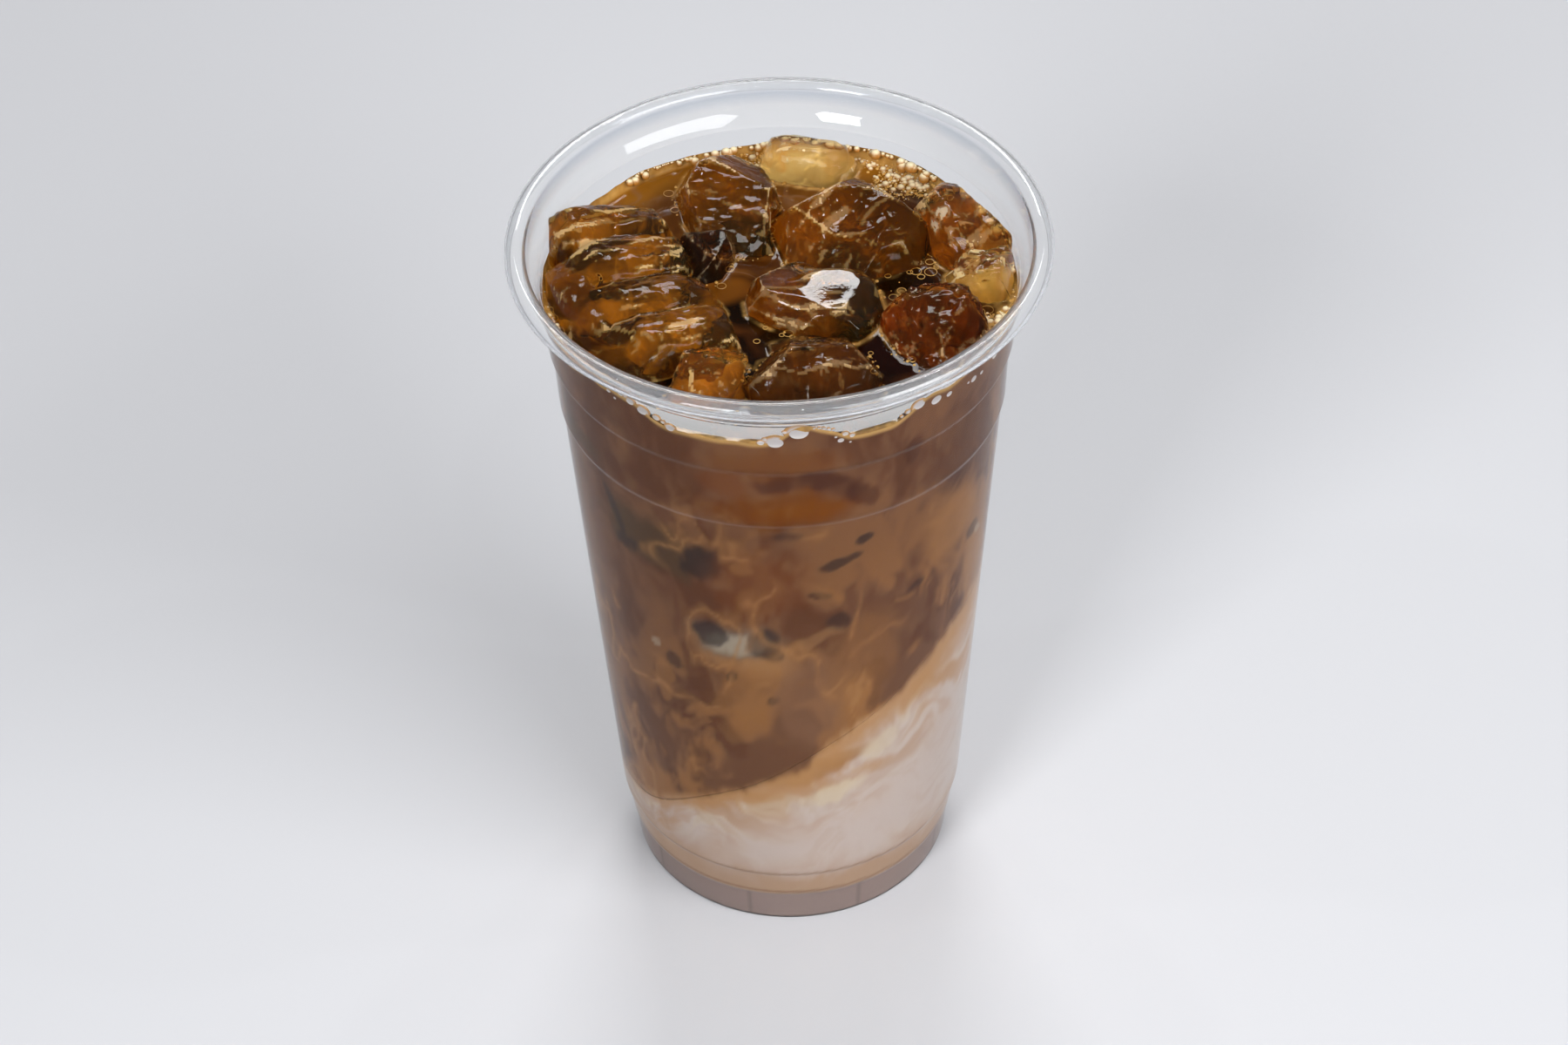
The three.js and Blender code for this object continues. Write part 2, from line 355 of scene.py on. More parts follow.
# patches on the front: azimuth, height, half width and half height in mm, tilt in degrees, colour, strength
drinkPatches = [
    # the amber and gold patches just below the surface are a painted glow
    (-2, 130.5, 12, 4, 0, "amber", 0.4), (-2, 118.5, 13, 5, 0, "amber", 0.75),
    (3, 118.5, 8, 2.2, 0, "gold", 0.25), (-13, 125, 5, 4, 0, "rust", 0.6),
    # the plum arch just under the wall's step at 127 mm is a painted shadow
    (3, 125.4, 9, 1.8, -4, "plum", 0.5), (12, 124, 6, 3, -28, "plum", 0.55),
    (19, 120.5, 4, 2.6, -50, "plum", 0.55), (33, 126.5, 1.8, 3.4, 10, "plum", 0.4),
    (-38, 103, 12, 7.5, 0, "olive", 0.75), (-24, 102, 4.2, 4.6, 0, "shade", 0.75),
    (-47, 98.5, 3, 2.2, 20, "shade", 0.55), (-51, 106, 1.2, 5.5, 28, "shade", 0.55),
    (-63, 118, 6, 3, 0, "olive", 0.6), (-66, 75, 9, 34, 0, "mauve", 0.4),
    (49, 100, 7.5, 8, -10, "caramel", 0.75), (52, 111.5, 6, 3, 6, "plum", 0.35),
    (66, 86, 6, 6, 30, "caramel", 0.7), (62, 92, 2.6, 1.7, 0, "shade", 0.55),
    (66, 90.5, 1.6, 0.9, 0, "pale", 0.5), (-8, 98, 10, 9, 0, "rust", 0.5),
    (-12, 102, 2, 1.6, 0, "caramel", 0.4), (0, 111, 2.4, 1.3, 10, "shade", 0.5),
    (14, 103, 4, 1.3, 22, "shade", 0.75), (20.5, 108, 1.7, 1.2, 10, "shade", 0.8),
    (9, 95, 2.2, 1.5, -10, "shade", 0.7), (14, 87.5, 2.8, 2.2, 35, "shade", 0.6),
    (37, 90, 2, 0.9, 0, "shade", 0.5), (33, 88.5, 2.4, 0.7, -10, "caramel", 0.4),
    (-12, 79, 12, 6.4, -8, "tawny", 0.5), (-14, 82.5, 10.5, 4.4, -6, "slate", 0.85),
    (-15, 82, 7, 3, -6, "pale", 0.75), (-23, 84, 3.4, 3, 25, "shade", 0.75),
    (-6, 82.5, 3.4, 4, -30, "shade", 0.75), (-4, 80, 2.6, 2, -38, "shade", 0.6),
    (6, 82, 7, 1.6, 30, "tawny", 0.3), (-12, 68, 9, 9, 8, "caramel", 0.5),
    (-16, 73, 1.5, 1.3, 0, "shade", 0.75), (-4, 67, 1.4, 1, 0, "shade", 0.6),
    (6, 66, 7, 13, 0, "mauve", 0.65), (22, 74, 6, 14, 0, "caramel", 0.35),
    (-28, 72, 2.6, 9, 16, "darkBrown", 0.7), (-19, 56, 3, 6, 25, "darkBrown", 0.5),
    (-35, 73, 2, 2.4, 0, "shade", 0.6), (-40, 76, 1.2, 1.2, 0, "pale", 0.4),
    (-39, 66, 2.2, 6, 0, "caramel", 0.6),
]
milkWisps = [
    (5, 45.5, 9, 2.4, 18, "caramel", 0.8), (16, 49, 7, 2, 12, "caramel", 0.75),
    (22, 43, 9, 2.4, 16, "tawny", 0.4), (36, 42, 8, 2.6, 24, "tan", 0.45),
    (-24, 33, 4, 1.6, -20, "tan", 0.7), (-12, 38, 5, 1.6, 20, "tawny", 0.5),
    (14, 39, 7, 2.6, 14, "cream", 0.7), (30, 50, 5, 3, 35, "cream", 0.5),
]
unseenPatches = {"seed": 5, "count": 34, "from": 80, "to": 280, "low": 62, "high": 126}


def throughWall(name):
    return np.clip((seen(*drinkColours[name]) - wallView["veil"]) / wallView["share"], 0, 0.95)


# lay one of the drink's colours over the paint
def lay(paint, name, share):
    return mix(paint, throughWall(name), share)


def allPatches():
    draw = np.random.default_rng(unseenPatches["seed"])
    patches = list(drinkPatches)
    for _ in range(unseenPatches["count"]):
        azimuth = draw.uniform(unseenPatches["from"], unseenPatches["to"])
        height = draw.uniform(unseenPatches["low"], unseenPatches["high"])
        colour = draw.choice(["shade", "plum", "caramel", "olive", "rust", "caramel"])
        wide = draw.uniform(1.5, 4) if colour in ("shade", "plum") else draw.uniform(4, 10)
        high = wide * draw.uniform(0.4, 1.3)
        tilt = draw.uniform(-40, 40)
        patches.append((azimuth, height, wide, high, tilt, str(colour), draw.uniform(0.35, 0.75)))
    return patches


# distance from the middle of a tilted oval, 1 on its edge
def ovalReach(across, up, wide, high, tilt):
    lean = math.radians(tilt)
    along = (across * math.cos(lean) + up * math.sin(lean)) / wide
    beside = (up * math.cos(lean) - across * math.sin(lean)) / high
    return np.hypot(along, beside)


def paintPatches(paint, patches, azimuth, height, sway, fine):
    for middle, at, wide, high, tilt, name, strength in patches:
        small = smoothStep(7, 2.5, wide)  # small things have the firmer edge
        across = angleOff(azimuth, middle) * np.radians(1) * wallRadius(height)
        across = across + (7 - 4 * small) * sway[:, 0] + 2.4 * sway[:, 3]
        up = height - at + (7 - 4 * small) * sway[:, 2] + 2.4 * sway[:, 4]
        reach = ovalReach(across, up, wide, high, tilt) + 0.7 * (fine - 0.5)
        paint = lay(paint, name, strength * smoothStep(1.3 - 0.15 * small, 0.55 + 0.25 * small, reach))
    return paint


# milk is tan at the bottom, with wisps of coffee that grow denser towards its top
def paintMilk(bent, azimuth, height, above, sway, fine):
    wisp = cloudNoise(bent * [1, 1, 2.0], 11, 9)
    feather = cloudNoise(bent * [0.6, 0.6, 1.6] + [0, 0, 90], 4.5, 10, 4)
    band = 5 * smoothStep(-10, 20, azimuth) + 8 * smoothStep(30, 62, azimuth)
    band = 2 + band * smoothStep(120, 85, azimuth)
    milk = mix(throughWall("milk"), throughWall("tan"), smoothStep(23, 11, height + 12 * (wisp - 0.5)))
    milk = lay(milk, "tawny", 0.75 * smoothStep(0.42, 0.66, wisp) * smoothStep(-24, -1, above + band))
    milk = lay(milk, "tan", 0.55 * smoothStep(0.46, 0.64, fine) * smoothStep(-24, -4, above))
    milk = lay(milk, "tan", 0.22 * smoothStep(0.46, 0.68, feather))
    milk = lay(milk, "cream", 0.35 * smoothStep(0.5, 0.38, feather) * smoothStep(-20, -6, above))
    milk = paintPatches(milk, milkWisps, azimuth, height, sway, fine)
    return lay(milk, "tawny", 0.9 * smoothStep(-band - 5, -0.3 * band, above + 7 * (wisp - 0.5)))


def paintDrink(points):
    azimuth = np.degrees(np.arctan2(points[:, 0], -points[:, 1]))
    height = points[:, 2]
    sway = [cloudNoise(points * [1, 1, 0.6], 15, seed, 4) - 0.5 for seed in (41, 42, 43)]
    sway += [cloudNoise(points, 3.6, seed, 3) - 0.5 for seed in (44, 45)]
    sway = np.column_stack(sway)
    bent = points + sway[:, :3] * [24, 24, 30]
    streak = cloudNoise(bent * [1, 1, 0.35], 7, 5)
    cloud = cloudNoise(bent, 15, 6)
    fine = cloudNoise(bent * [1, 1, 0.5], 2.6, 7, 3)
    tone = 0.4 * cloud + 0.38 * streak + 0.22 * fine
    above = height - layerHeight(points[:, 0], points[:, 1]) - 4 * (cloud - 0.5) - 3 * (streak - 0.5)
    low = smoothStep(62, 0, above)  # the coffee grows paler towards the milk
    paint = mix(throughWall("darkBrown"), throughWall("warmBrown"), smoothStep(0.4, 0.56, tone))
    paint = lay(paint, "caramel", smoothStep(0.5, 0.62, tone + 0.07 * low) * (0.2 + 0.6 * low))
    paint = lay(paint, "mauve", 0.35 * low * smoothStep(0.52, 0.4, cloud))
    paint = paintPatches(paint, allPatches(), azimuth, height, sway, fine)
    thread = np.abs(cloudNoise(bent * [1, 1, 0.7] + 40, 10, 11, 3) - 0.5)
    woven = smoothStep(0.46, 0.62, cloudNoise(points, 13, 12, 2)) * smoothStep(125, 100, height)
    paint = lay(paint, "tawny", 0.4 * woven * smoothStep(0.03, 0.002, thread))
    paint = lay(paint, "caramel", 0.4 * woven * smoothStep(0.1, 0.02, thread))
    milk = paintMilk(bent, azimuth, height, above, sway, fine)
    paint = mix(paint, milk, smoothStep(1.5, -2.4, above + 4 * (fine - 0.5)))
    for ledge in drink["ledges"]:  # the steps of the wall shade the milk
        paint = lay(paint, "mauve", 0.55 * smoothStep(0.55, 0.1, np.abs(height - ledge)))
    foot = lay(throughWall("foot"), "shade", 0.22 * smoothStep(1.2, 0.4, fromRib(azimuth)))
    paint = mix(paint, foot, smoothStep(8.6, 7.9, height))
    return lay(paint, "edge", 0.9 * smoothStep(1.3, 0.3, shoreHeight(azimuth) - height))


def makeMilk(material):
    around = drink["around"]
    azimuth = azimuths(around)
    top = layerAtWall(azimuth)
    rows = [aroundCup(np.full(around, r), azimuth, np.full(around, z)) for r, z in drink["groove"]]
    bottom = drink["groove"][-1][1]
    for share in np.linspace(0.01, 1, drink["milkRows"]):
        height = bottom + (top - bottom) * share
        rows.append(aroundCup(drinkRadius(height), azimuth, height))
    edge = rows[-1]
    for share in np.linspace(1, 0, 14)[1:]:
        inner = edge * [max(share, 0.001), max(share, 0.001), 1]
        inner[:, 2] = layerHeight(inner[:, 0], inner[:, 1])
        rows.append(inner)
    points = np.vstack(rows)
    faces = ringFaces(len(rows), around).tolist()
    makePiece("milkLayer", points, faces, ["milk_layer"], material, paintDrink(points))
    print("milk made")


def makeCoffeeSide(material):
    around = drink["around"]
    azimuth = azimuths(around)
    low = layerAtWall(azimuth)
    high = shoreHeight(azimuth)
    rows = []
    for share in np.linspace(0.002, 0.96, 12):  # underside, on the milk
        ring = aroundCup(drink["layerRadius"] * share, azimuth, low)
        ring[:, 2] = layerHeight(ring[:, 0], ring[:, 1])
        rows.append(ring)
    upper = np.linspace(0.975, 1, drink["shoreRows"])
    for share in np.r_[np.linspace(0, 0.97, drink["sideRows"]), upper]:
        height = low + (high - low) * share
        rows.append(aroundCup(drinkRadius(height), azimuth, height))
    points = np.vstack(rows)
    faces = ringFaces(len(rows), around).tolist()
    makePiece("coffeeSide", points, faces, ["coffee"], material, paintDrink(points))
    print("coffee side made")


# ice: every piece takes its form from its solid; glow and deep are painted light and shade on what shows
# through it,
# lit is where it glows, well is how far the drink sinks under it, spots are painted glow and painted shade:
# x, y, half sizes, tilt, colour, strength
ice = {
    "voxel": 0.42,
    "smoothing": 2,
    "facets": {"grow": 1.05, "shave": (1.5, 3.0), "top": (74, 82), "side": (12, 40), "corner": (40, 65)},
    "index": 1.15,
    "clear": {"clear": 0.98, "hazy": 0.8, "cloudy": 0.45},
    "finishes": {"Ice": (1.3, 0.2), "PolishedIce": (1.5, 0.55)},  # index and weight of the wet coat
    "edge": (250, 226, 180),
    "frost": 0.35,  # pale fibres, where a piece has no value of its own
    "fromWall": 0.12,
    "frontClear": 6.4,  # the ice slopes down to the drink before it reaches the front wall
    "polish": {"piece": "ice_middle", "at": (9.3, -5.8), "reach": (7.5, 5.5), "height": 140.6, "tilt": 4},
    "ribbed": {"from": (-31.5, 12.5), "to": (-19.5, -17.5), "slabs": 4},
    "pieces": {
        "ice_ribbed": {
            "glow": (166, 112, 28), "deep": (66, 34, 6), "lit": (0.3, 0), "well": 5.5,
            "crinkle": 0.42, "grain": 20, "shave": 0.1, "frost": 0.5,
            "glowAndShadeSpots": [(-36, 3, 3, 9, 20, (120, 66, 16), 0.6), (-30, -13, 4, 4, 0, (40, 16, 3), 0.6)]},
        "ice_broad": {
            "glow": (152, 94, 17), "deep": (90, 47, 5), "lit": (-1, 0.2), "well": 7,
            "crinkle": 0.3, "grain": 55,
            "faces": [  # azimuth and elevation it looks to, depth
                (240, 50, 4.5), (129, 40, 3.6), (42, 36, 4.2), (-22, 30, 2.5),
                (195, 25, 2.5), (75, 62, 1.6)],
            "glowAndShadeSpots": [(12, 15, 5, 7, 20, (48, 20, 2), 0.75), (3, 14, 5, 4, 30, (142, 94, 30), 0.6)]},
        "ice_rear_left": {
            "glow": (138, 88, 20), "deep": (64, 34, 8), "lit": (-0.5, 0.4), "well": 6,
            "crinkle": 0.28, "grain": -25,
            "glowAndShadeSpots": [(-9, 22, 7, 2.2, -32, (52, 28, 12), 0.85), (-4, 28, 5, 2, -25, (172, 104, 50), 0.6)]},
        "ice_middle": {
            "glow": (130, 78, 12), "deep": (40, 17, 2), "lit": (-1.2, 0), "well": 6,
            "crinkle": 0.06, "grain": 0, "shave": 0.6,
            "glowAndShadeSpots": [(-3, -3, 3.5, 4, 0, (176, 112, 38), 0.6), (13, -9, 5, 5, 0, (40, 16, 3), 0.6)]},
        "ice_rear_right": {
            "glow": (186, 118, 32), "deep": (112, 60, 16), "lit": (-0.6, -0.3), "well": 5,
            "crinkle": 0.3, "grain": 60,
            "faces": [(144, 33, 2.2), (31, 30, 2.4), (250, 40, 2.0), (300, 60, 1.2)],
            "cores": [((30, 12.5, 140), (2.0, 2.4, 3.0), (226, 216, 198))]},
        "ice_right_front": {
            "glow": (160, 84, 18), "deep": (66, 26, 6), "lit": (-1, 0), "well": 7,
            "crinkle": 0.85, "grain": 65},
        "ice_front": {
            "glow": (116, 70, 20), "deep": (48, 23, 6), "lit": (0.2, 0.6), "well": 6,
            "crinkle": 0.45, "grain": 40},
        "ice_right": {
            "glow": (232, 196, 112), "deep": (150, 106, 48), "lit": (0.4, 0), "well": 4,
            "crinkle": 1.15, "grain": 10, "shave": 0.5, "frost": 0.8},
        "ice_front_left": {
            "glow": (214, 148, 44), "deep": (122, 72, 22), "lit": (-0.6, 0.2), "well": 5,
            "crinkle": 0.6, "grain": 80, "frost": 0.55},
        "ice_rear": {
            "glow": (214, 190, 132), "deep": (170, 136, 74), "lit": (-0.7, 0), "well": 3.5,
            "crinkle": 0.25, "grain": 0, "shave": 0.15},
        "ice_small": {
            "glow": (74, 40, 14), "deep": (22, 9, 1), "lit": (0, 0.8), "well": 6,
            "crinkle": 0.2, "grain": 70, "frost": 0.1},
        "ice_low": {
            "glow": (124, 78, 20), "deep": (58, 30, 7), "lit": (0, 0.5), "well": 4,
            "crinkle": 0.4, "grain": 0, "frost": 0.12},
        "ice_chip": {
            "glow": (96, 52, 14), "deep": (38, 17, 3), "lit": (0, 0.5), "well": 4,
            "crinkle": 0.5, "grain": 0},
    },
}


# clear, hazy and cloudy ice of one finish
def iceMaterials(finish):
    coatIndex, coatWeight = ice["finishes"][finish]
    looks = []
    for kind, clear in ice["clear"].items():
        sockets = {"Roughness": 0.03, "IOR": ice["index"], "Transmission Weight": clear,
                   "Coat Weight": coatWeight, "Coat Roughness": 0.02, "Coat IOR": coatIndex}
        looks.append(makeMaterial(kind + finish, sockets, grain=0.8, height=0.028, detail=2.0))
    return looks


# how far each point stands out of its neighbours: above 0 on crests, below 0 in hollows
def meshBend(mesh, points, normals, rounds):
    ends = np.zeros(len(mesh.edges) * 2, np.int32)
    mesh.edges.foreach_get("vertices", ends)
    first, second = ends[0::2], ends[1::2]
    both = np.r_[first, second]
    other = np.r_[second, first]
    count = np.maximum(np.bincount(both, minlength=len(points)), 1)

    def spread(values):
        return np.bincount(both, values[other], len(points)) / count

    around = points.copy()
    for _ in range(rounds):
        around = np.column_stack([spread(around[:, axis]) for axis in range(3)])
    bend = ((points - around) * normals).sum(1)
    return bend / (bend.std() + 1e-6)


# points in a frame that follows the fibres of a piece, drawn together along them
def alongFibres(points, look, squeeze):
    turn = math.radians(look["grain"])
    along = points[:, 0] * math.cos(turn) + points[:, 1] * math.sin(turn)
    across = points[:, 1] * math.cos(turn) - points[:, 0] * math.sin(turn)
    return np.column_stack([along / squeeze, across, points[:, 2]])


# ice is clear but for pale cloudy lines along its crests and fibres: colour and clearness at each point
def paintIce(mesh, points, normals, look, seed):
    bend = meshBend(mesh, points, normals, 6)
    fibres = cloudNoise(alongFibres(points, look, 8), 1.3, 150 + seed, 3)
    patchy = smoothStep(0.35, 0.62, cloudNoise(points, 5, 170 + seed, 2))
    crest = smoothStep(1.0, 2.5, bend + 2 * (fibres - 0.5)) * (0.1 + 0.8 * patchy)
    streak = smoothStep(0.58, 0.72, fibres) * patchy
    cloudy = np.clip(0.02 + 0.4 * crest + look.get("frost", ice["frost"]) * streak, 0, 0.8)
    tint = np.sqrt(seen(*look["glow"]))
    tint = mix(tint, seen(*ice["edge"]) * (0.45 + 0.55 * tint), np.clip(1.2 * crest + streak, 0, 1))
    for place, reach, colour in look.get("cores", []):
        far = np.linalg.norm((points - place) / reach, axis=1) + 1.2 * (fibres - 0.5)
        core = smoothStep(1.2, 0.6, far)
        tint = mix(tint, seen(*colour), core)
        cloudy = np.maximum(cloudy, 0.8 * core)
    return tint, 1 - cloudy


# the flat faces of a cube that has begun to melt: a top, four sides and two corners
def facetIce(points, look, seed):
    draw = np.random.default_rng(300 + seed)
    middle = (points.max(0) + points.min(0)) / 2
    facets = ice["facets"]
    points = middle + (points - middle) * [facets["grow"], facets["grow"], 1]
    faces = [(draw.uniform(0, 360), draw.uniform(*facets["top"]))]
    for side in range(4):
        faces.append((look["grain"] + 90 * side + draw.uniform(-14, 14), draw.uniform(*facets["side"])))
    for _ in range(2):
        faces.append((draw.uniform(0, 360), draw.uniform(*facets["corner"])))
    faces = [(*face, draw.uniform(*facets["shave"]) * look.get("shave", 1)) for face in faces]
    for azimuth, elevation, depth in look.get("faces", faces):
        turn, rise = np.radians([azimuth, elevation])
        level = np.array([math.cos(turn), math.sin(turn), 0]) * math.cos(rise)
        heading = level + [0, 0, math.sin(rise)]
        reach = (points - middle) @ heading
        over = reach - reach.max() + depth
        points = points - np.maximum(over, 0)[:, None] * heading
    return points


def fromFrontWall(points):
    return points[:, 1] + np.sqrt(np.maximum(wallRadius(drink["level"]) ** 2 - points[:, 0] ** 2, 0))


# melted lumps, fine crinkles and the fibres that frozen water shows, as a push along the normals
def roughenIce(points, normals, look, seed):
    crinkle = look["crinkle"]
    lumps = cloudNoise(points, 8, 60 + seed, 2) - 0.5
    scallops = 1 - 2 * np.abs(latticeNoise(points, 4.5, 80 + seed) - 0.5)
    ridges = 1 - 2 * np.abs(cloudNoise(points, 2.4, 90 + seed, 2) - 0.5)
    fibres = cloudNoise(alongFibres(points, look, 7), 1.5, 120 + seed, 2) - 0.5
    push = 0.25 * lumps + 0.2 * min(1, 2 * crinkle) * (scallops - 0.6)
    push += crinkle * (0.7 * (ridges**2 - 0.6) + 0.6 * fibres)
    points = points + normals * push[:, None]
    radius = np.hypot(points[:, 0], points[:, 1])
    off = fromFrontWall(points) - ice["frontClear"] + 1.5 * lumps
    slope = drink["level"] + np.where(off > 0, 0.86, 4) * off
    points[:, 2] = np.minimum(points[:, 2], np.maximum(slope, drink["level"] - 6))
    inwards = np.minimum(1, (insideRadius(points[:, 2]) - ice["fromWall"]) / radius)
    return points * np.column_stack([inwards, inwards, np.ones(len(points))])


# one wet top is melted to a smooth tilted plane
def polishIce(points, normals):
    polish = ice["polish"]
    off = points[:, :2] - polish["at"]
    aside = off / polish["reach"]
    wavy = 1.2 * (cloudNoise(points, 5, 140, 2) - 0.5)
    wet = 0.06 + 0.4 * smoothStep(-2, 6, off[:, 0] - off[:, 1])  # the water on it runs to the right front
    share = smoothStep(1.25, 0.75, np.hypot(aside[:, 0], aside[:, 1]) + 0.5 * wavy)
    share = share * smoothStep(0.3, 0.7, normals[:, 2])
    plane = polish["height"] + math.tan(math.radians(polish["tilt"])) * off[:, 1]
    points[:, 2] += share * (plane + wet * wavy - points[:, 2])
    return points


def meltSolid(name):
    piece = addToScene(name.replace("ice_", "ice-"), nodes[name].data.copy())
    remesh = piece.modifiers.new("melt", "REMESH")
    remesh.mode = "VOXEL"
    remesh.voxel_size = ice["voxel"] * mm
    smooth = piece.modifiers.new("soften", "SMOOTH")
    smooth.factor = 0.5
    smooth.iterations = ice["smoothing"]
    view = bpy.context.evaluated_depsgraph_get()
    mesh = bpy.data.meshes.new_from_object(piece.evaluated_get(view))
    piece.modifiers.clear()
    piece.data = mesh
    return piece


def meshVectors(mesh, kind):
    values = np.zeros(len(mesh.vertices) * 3)
    mesh.vertices.foreach_get(kind, values)
    return values.reshape(-1, 3)


def movePoints(mesh, points):
    mesh.vertices.foreach_set("co", (points * mm).ravel())
    mesh.update()


# every face takes the one of the three clear kinds that comes nearest to its first corner
def setKinds(mesh, clear):
    corners = np.zeros(len(mesh.loops), np.int32)
    mesh.loops.foreach_get("vertex_index", corners)
    starts = np.zeros(len(mesh.polygons), np.int32)
    mesh.polygons.foreach_get("loop_start", starts)
    clearness = np.array(list(ice["clear"].values()))
    kinds = np.argmin(np.abs(clear[corners[starts]][:, None] - clearness), axis=1)
    mesh.polygons.foreach_set("material_index", kinds.astype(np.int32))
    mesh.update()


def makeIce():
    finishes = {finish: iceMaterials(finish) for finish in ice["finishes"]}
    trees = {}
    for number, (name, look) in enumerate(ice["pieces"].items()):
        isPolished = name == ice["polish"]["piece"]
        piece = meltSolid(name)
        mesh = piece.data
        points = facetIce(meshVectors(mesh, "co") / mm, look, number)
        movePoints(mesh, points)
        normals = meshVectors(mesh, "normal")
        points = roughenIce(points, normals, look, number)
        if isPolished:
            points = polishIce(points, normals)
        movePoints(mesh, points)
        tint, clear = paintIce(mesh, points, meshVectors(mesh, "normal"), look, number)
        paintMesh(mesh, tint)
        smoothMesh(mesh)
        mesh.materials.clear()
        for material in finishes["PolishedIce" if isPolished else "Ice"]:
            mesh.materials.append(material)
        setKinds(mesh, clear)
        trees[name] = BVHTree.FromObject(piece, bpy.context.evaluated_depsgraph_get())
        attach(piece, "root")
        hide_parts(name)
    print("ice made,", len(trees), "pieces")
    return trees


# surface of the coffee: level, drawn up at the wall and the ice, sunk into a well under each piece of ice
surface = {
    "rings": 120,
    "wallReach": 0.35,
    "iceReach": 0.22,
    "iceRise": 0.2,
    "swell": 0.03,
    "backTilt": 0.022,
    "index": 1.2,
    "stripIndex": 1.33,  # the clear strip along the front wall mirrors more
    # golden, and most of pale, are painted light that comes in through the wall at the back left
    "colours": {
        "open": (66, 33, 7), "pale": (122, 74, 24), "dark": (24, 9, 1), "foam": (196, 152, 84),
        "golden": (150, 96, 26), "curl": (136, 98, 66)},
    # the darkest pools are painted shade between the pieces of ice
    "pools": [  # x, y, half width, half height, colour, strength
        (-6, -8, 4.5, 5, (12, 4, 0), 0.95), (2, -13, 7, 4, (30, 12, 1), 0.8),
        (17, -21, 9, 6, (26, 4, 1), 0.95), (16, 26, 8, 4, (40, 16, 2), 0.7),
        (-10, -1, 5, 5, (120, 70, 16), 0.85), (-24, 24, 9, 7, (88, 50, 14), 0.8)],
}


# how far a point lies behind the strip of open drink along the front wall
def behindFront(points):
    return np.clip(fromFrontWall(points) - ice["frontClear"] - 1, 0, 40)


def solidBox(name):
    return [np.array(corner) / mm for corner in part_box(name)]


# distance to the nearest ice, below 0 inside it, and which piece that is
def nearIce(points, trees):
    distance = np.full(len(points), 9.0)
    owner = np.full(len(points), -1)
    for number, name in enumerate(trees):
        low, high = solidBox(name)
        near = np.all((points[:, :2] > low[:2] - 3) & (points[:, :2] < high[:2] + 3), axis=1)
        for index in np.where(near)[0]:
            place = (points[index] * mm).tolist()
            spot, normal, _, off = trees[name].find_nearest(place)
            if spot is None:
                continue
            inside = (np.array(spot) / mm - points[index]) @ np.array(normal) > 0
            if inside and trees[name].ray_cast(place, (0, 0, 1))[0] is None:
                inside = False  # no ice stands above this point
            signed = -off / mm if inside else off / mm
            if signed < distance[index]:
                distance[index] = signed
                owner[index] = number
    return distance, owner


# froth gathers behind and on the right, and a little at the left
def foamShare(points):
    azimuth = np.degrees(np.arctan2(points[:, 0], -points[:, 1]))
    right = np.abs(angleOff(azimuth, 128))
    return np.maximum(smoothStep(72, 52, right), 0.6 * smoothStep(24, 12, np.abs(azimuth + 84)))


def foamPatches(points):
    return smoothStep(0.4, 0.6, cloudNoise(points, 5, 80, 3))


# painted glow and painted shade seen through single pieces of ice
def paintGlowAndShadeSpots(paint, points, owner):
    sway = 3 * np.column_stack([cloudNoise(points, 6, seed, 3) - 0.5 for seed in (161, 162)])
    for number, look in enumerate(ice["pieces"].values()):
        for x, y, wide, tall, tilt, colour, strength in look.get("glowAndShadeSpots", []):
            far = ovalReach(points[:, 0] - x + sway[:, 0], points[:, 1] - y + sway[:, 1], wide, tall, tilt)
            paint = mix(paint, seen(*colour), strength * smoothStep(1.25, 0.6, far) * (owner == number))
    return paint


# the ribbed piece is a row of slabs: painted shade in the slot behind each one, a painted glow in its middle
def ribLight(points):
    ribbed = ice["ribbed"]
    row = np.array(ribbed["to"]) - ribbed["from"]
    off = points[:, :2] - ribbed["from"]
    along = off @ row / (row @ row) * (ribbed["slabs"] - 1)
    aside = (off[:, 0] * -row[1] + off[:, 1] * row[0]) / np.hypot(*row)
    phase = (along + 0.5 + 0.04 * aside / 9) % 1
    slotShade = smoothStep(0.0, 0.08, phase) * smoothStep(0.36, 0.2, phase)
    return 0.5 * smoothStep(0.3, 0.55, phase) * smoothStep(1.0, 0.7, phase) - 0.75 * slotShade - 0.12


# what shows through the ice: a painted glow where it is lit, painted shade elsewhere, veins, and painted
# glow and shade spots
def paintWells(flat, swirl, owner):
    lit = 0.5 + 1.3 * (cloudNoise(swirl, 6, 76) - 0.5)
    for number, (name, look) in enumerate(ice["pieces"].items()):
        low, high = solidBox(name)
        aside = (flat - (low + high) / 2) / (high - low)
        lit = np.where(owner == number, lit + aside[:, :2] @ look["lit"], lit)
    lit = np.where(owner == list(ice["pieces"]).index("ice_ribbed"), lit + ribLight(flat), lit)
    looks = ice["pieces"].values()
    glow = np.array([seen(*look["glow"]) for look in looks] + [np.zeros(3)])[owner]
    deep = np.array([seen(*look["deep"]) for look in looks] + [np.zeros(3)])[owner]
    veins = smoothStep(0.05, 0, np.abs(cloudNoise(swirl, 3.4, 77, 3) - 0.5)) * cloudNoise(flat, 7, 78, 2)
    below = mix(deep, glow, smoothStep(0.1, 0.95, lit)) + 0.6 * glow * veins[:, None]
    return paintGlowAndShadeSpots(below, flat, owner)


